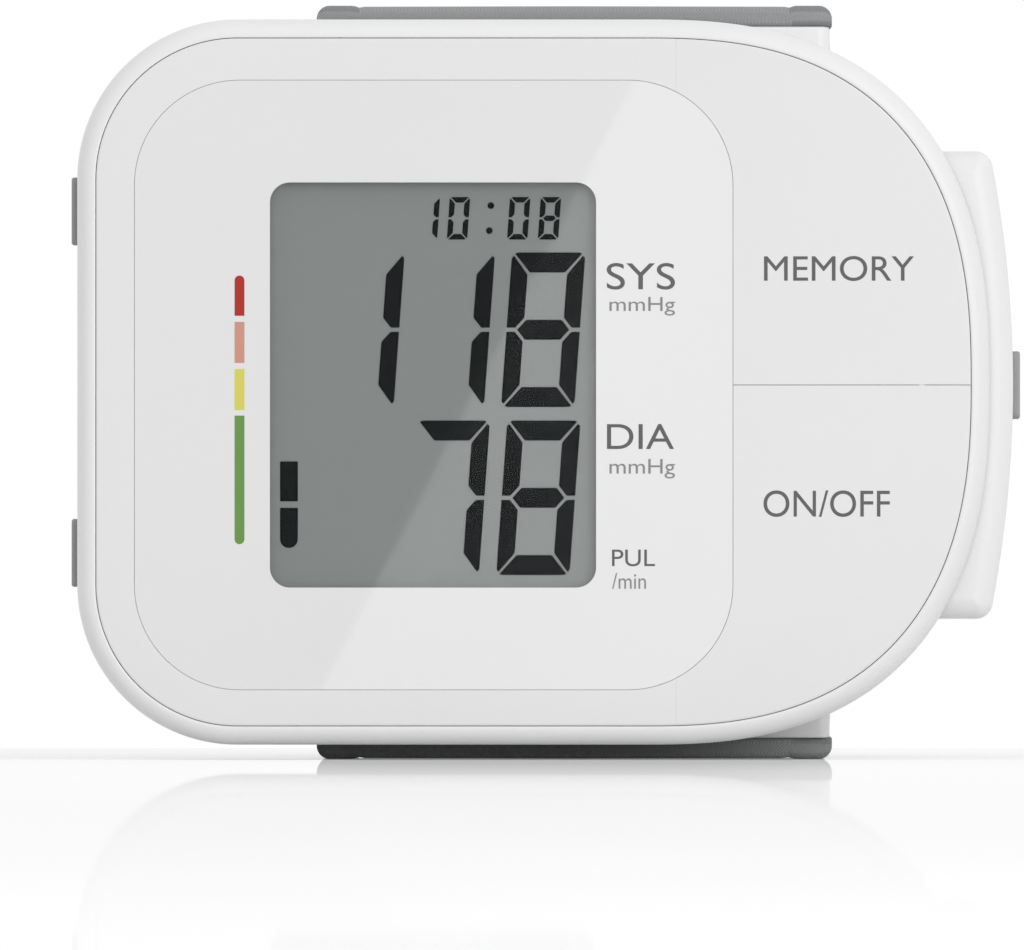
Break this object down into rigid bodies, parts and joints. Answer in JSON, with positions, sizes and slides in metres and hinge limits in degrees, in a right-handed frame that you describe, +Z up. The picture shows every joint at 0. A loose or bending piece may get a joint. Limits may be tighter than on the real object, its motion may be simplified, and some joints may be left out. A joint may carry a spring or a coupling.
{
  "type": "wrist blood pressure monitor",
  "caption": "Wrist blood pressure monitor: D-shaped housing with display and push keys on a curved saddle, with a closed cuff loop and a side battery door.",
  "frame": {"origin": "on the floor under the middle of the bounding box, at the flat underside of the cuff", "axes": "+X to the right as the display is read, +Y from the display back through the cuff loop, +Z up"},
  "size_m": [0.095, 0.087, 0.0756],
  "materials": {
    "white_shell": "fine satin moulded white plastic",
    "face_white": "smooth light grey-white face",
    "lens_white": "clear plastic printed light grey-white from behind",
    "clear_window": "clear gloss",
    "display_grey": "reflective grey liquid crystal",
    "black_plastic": "matt black",
    "elastomer": "matt elastomer",
    "soft_grey": "soft-touch grey",
    "board_green": "solder mask",
    "cream_plastic": "natural moulded",
    "steel": "plain nickel-plated steel",
    "hose_clear": "translucent silicone",
    "cell_jacket": "plain grey jacket",
    "cuff_fabric": "grey brushed nylon weave",
    "lining_fabric": "smooth grey weave",
    "hook_tape": "dark hook tape",
    "bladder_film": "film"
  },
  "bodies": {
    "housing": {"front_shell": "white_shell", "face_plate": "face_white", "lens_panel": "lens_white", "display_window": "clear_window", "lcd_panel": "display_grey", "lcd_frame": "black_plastic", "contact_strip_upper": "elastomer", "contact_strip_lower": "elastomer", "circuit_board": "board_green", "processor_chip": "black_plastic", "buzzer": "black_plastic", "pressure_sensor": "cream_plastic", "memory_switch": "steel", "on_off_switch": "steel", "side_switch_upper": "steel", "side_switch_lower": "steel", "pump_motor": "steel", "pump_head": "black_plastic", "pump_cover": "cream_plastic", "exhaust_valve": "steel", "air_manifold": "cream_plastic", "pump_hose": "hose_clear", "sensor_hose": "hose_clear", "valve_hose": "hose_clear", "battery_bay": "white_shell", "cell_outer": "cell_jacket", "cell_inner": "cell_jacket", "contact_positive": "steel", "contact_negative": "steel", "contact_bridge": "steel", "spring_outer": "steel", "spring_inner": "steel", "door_hinge_pin": "steel", "rear_shell": "white_shell", "case_screw_1": "steel", "case_screw_2": "steel", "case_screw_3": "steel", "case_screw_4": "steel", "cuff_cover_upper": "cuff_fabric", "cuff_cover_lower": "cuff_fabric", "cuff_lining": "lining_fabric", "cuff_bladder": "bladder_film", "curl_liner": "cream_plastic"},
    "memory_key": {"memory_key": "face_white"},
    "memory_plunger": {"memory_plunger": "black_plastic"},
    "on_off_key": {"on_off_key": "face_white"},
    "on_off_plunger": {"on_off_plunger": "black_plastic"},
    "side_button_upper": {"side_button_upper": "soft_grey"},
    "side_plunger_upper": {"side_plunger_upper": "black_plastic"},
    "side_button_lower": {"side_button_lower": "soft_grey"},
    "side_plunger_lower": {"side_plunger_lower": "black_plastic"},
    "battery_door": {"battery_door": "white_shell"},
    "door_latch": {"door_latch": "soft_grey"},
    "cuff_flap": {"cuff_flap": "cuff_fabric", "hook_patch": "hook_tape"}
  },
  "joints": [
    {"name": "memory_key_press", "type": "hinge", "parent": "housing", "child": "memory_key", "pos_m": [0.013, -0.04185, 0.0375], "axis": [0, 0, 1], "range_deg": [0, 1.6], "stiffness_Nm_per_rad": 0.3, "springref_deg": -1.15},
    {"name": "memory_plunger_press", "type": "slide", "parent": "housing", "child": "memory_plunger", "axis": [0, 1, 0], "range_m": [0, 0.00046]},
    {"name": "on_off_key_press", "type": "hinge", "parent": "housing", "child": "on_off_key", "pos_m": [0.013, -0.04185, 0.0375], "axis": [0, 0, 1], "range_deg": [0, 1.6], "stiffness_Nm_per_rad": 0.3, "springref_deg": -1.15},
    {"name": "on_off_plunger_press", "type": "slide", "parent": "housing", "child": "on_off_plunger", "axis": [0, 1, 0], "range_m": [0, 0.00046]},
    {"name": "side_button_upper_press", "type": "slide", "parent": "housing", "child": "side_button_upper", "axis": [1, 0, 0], "range_m": [0, 0.0004], "stiffness_N_per_m": 400, "springref_m": -0.0005},
    {"name": "side_plunger_upper_press", "type": "slide", "parent": "housing", "child": "side_plunger_upper", "axis": [1, 0, 0], "range_m": [0, 0.0004]},
    {"name": "side_button_lower_press", "type": "slide", "parent": "housing", "child": "side_button_lower", "axis": [1, 0, 0], "range_m": [0, 0.0004], "stiffness_N_per_m": 400, "springref_m": -0.0005},
    {"name": "side_plunger_lower_press", "type": "slide", "parent": "housing", "child": "side_plunger_lower", "axis": [1, 0, 0], "range_m": [0, 0.0004]},
    {"name": "battery_door_swing", "type": "hinge", "parent": "housing", "child": "battery_door", "pos_m": [0.0393, -0.02485, 0.0375], "axis": [0, 0, 1], "range_deg": [0, 90]},
    {"name": "door_latch_press", "type": "slide", "parent": "battery_door", "child": "door_latch", "axis": [-1, 0, 0], "range_m": [0, 0.0005], "stiffness_N_per_m": 400, "springref_m": -0.0005},
    {"name": "cuff_flap_peel", "type": "hinge", "parent": "housing", "child": "cuff_flap", "pos_m": [0.003, 0.04292, 0.04487], "axis": [1, 0, 0], "range_deg": [0, 75]}
  ],
  "couplings": [
    {"joint": "memory_plunger_press", "follows": "memory_key_press", "m_per_rad": 0.016},
    {"joint": "on_off_plunger_press", "follows": "on_off_key_press", "m_per_rad": 0.016},
    {"joint": "side_plunger_upper_press", "follows": "side_button_upper_press", "ratio": 1},
    {"joint": "side_plunger_lower_press", "follows": "side_button_lower_press", "ratio": 1}
  ]
}
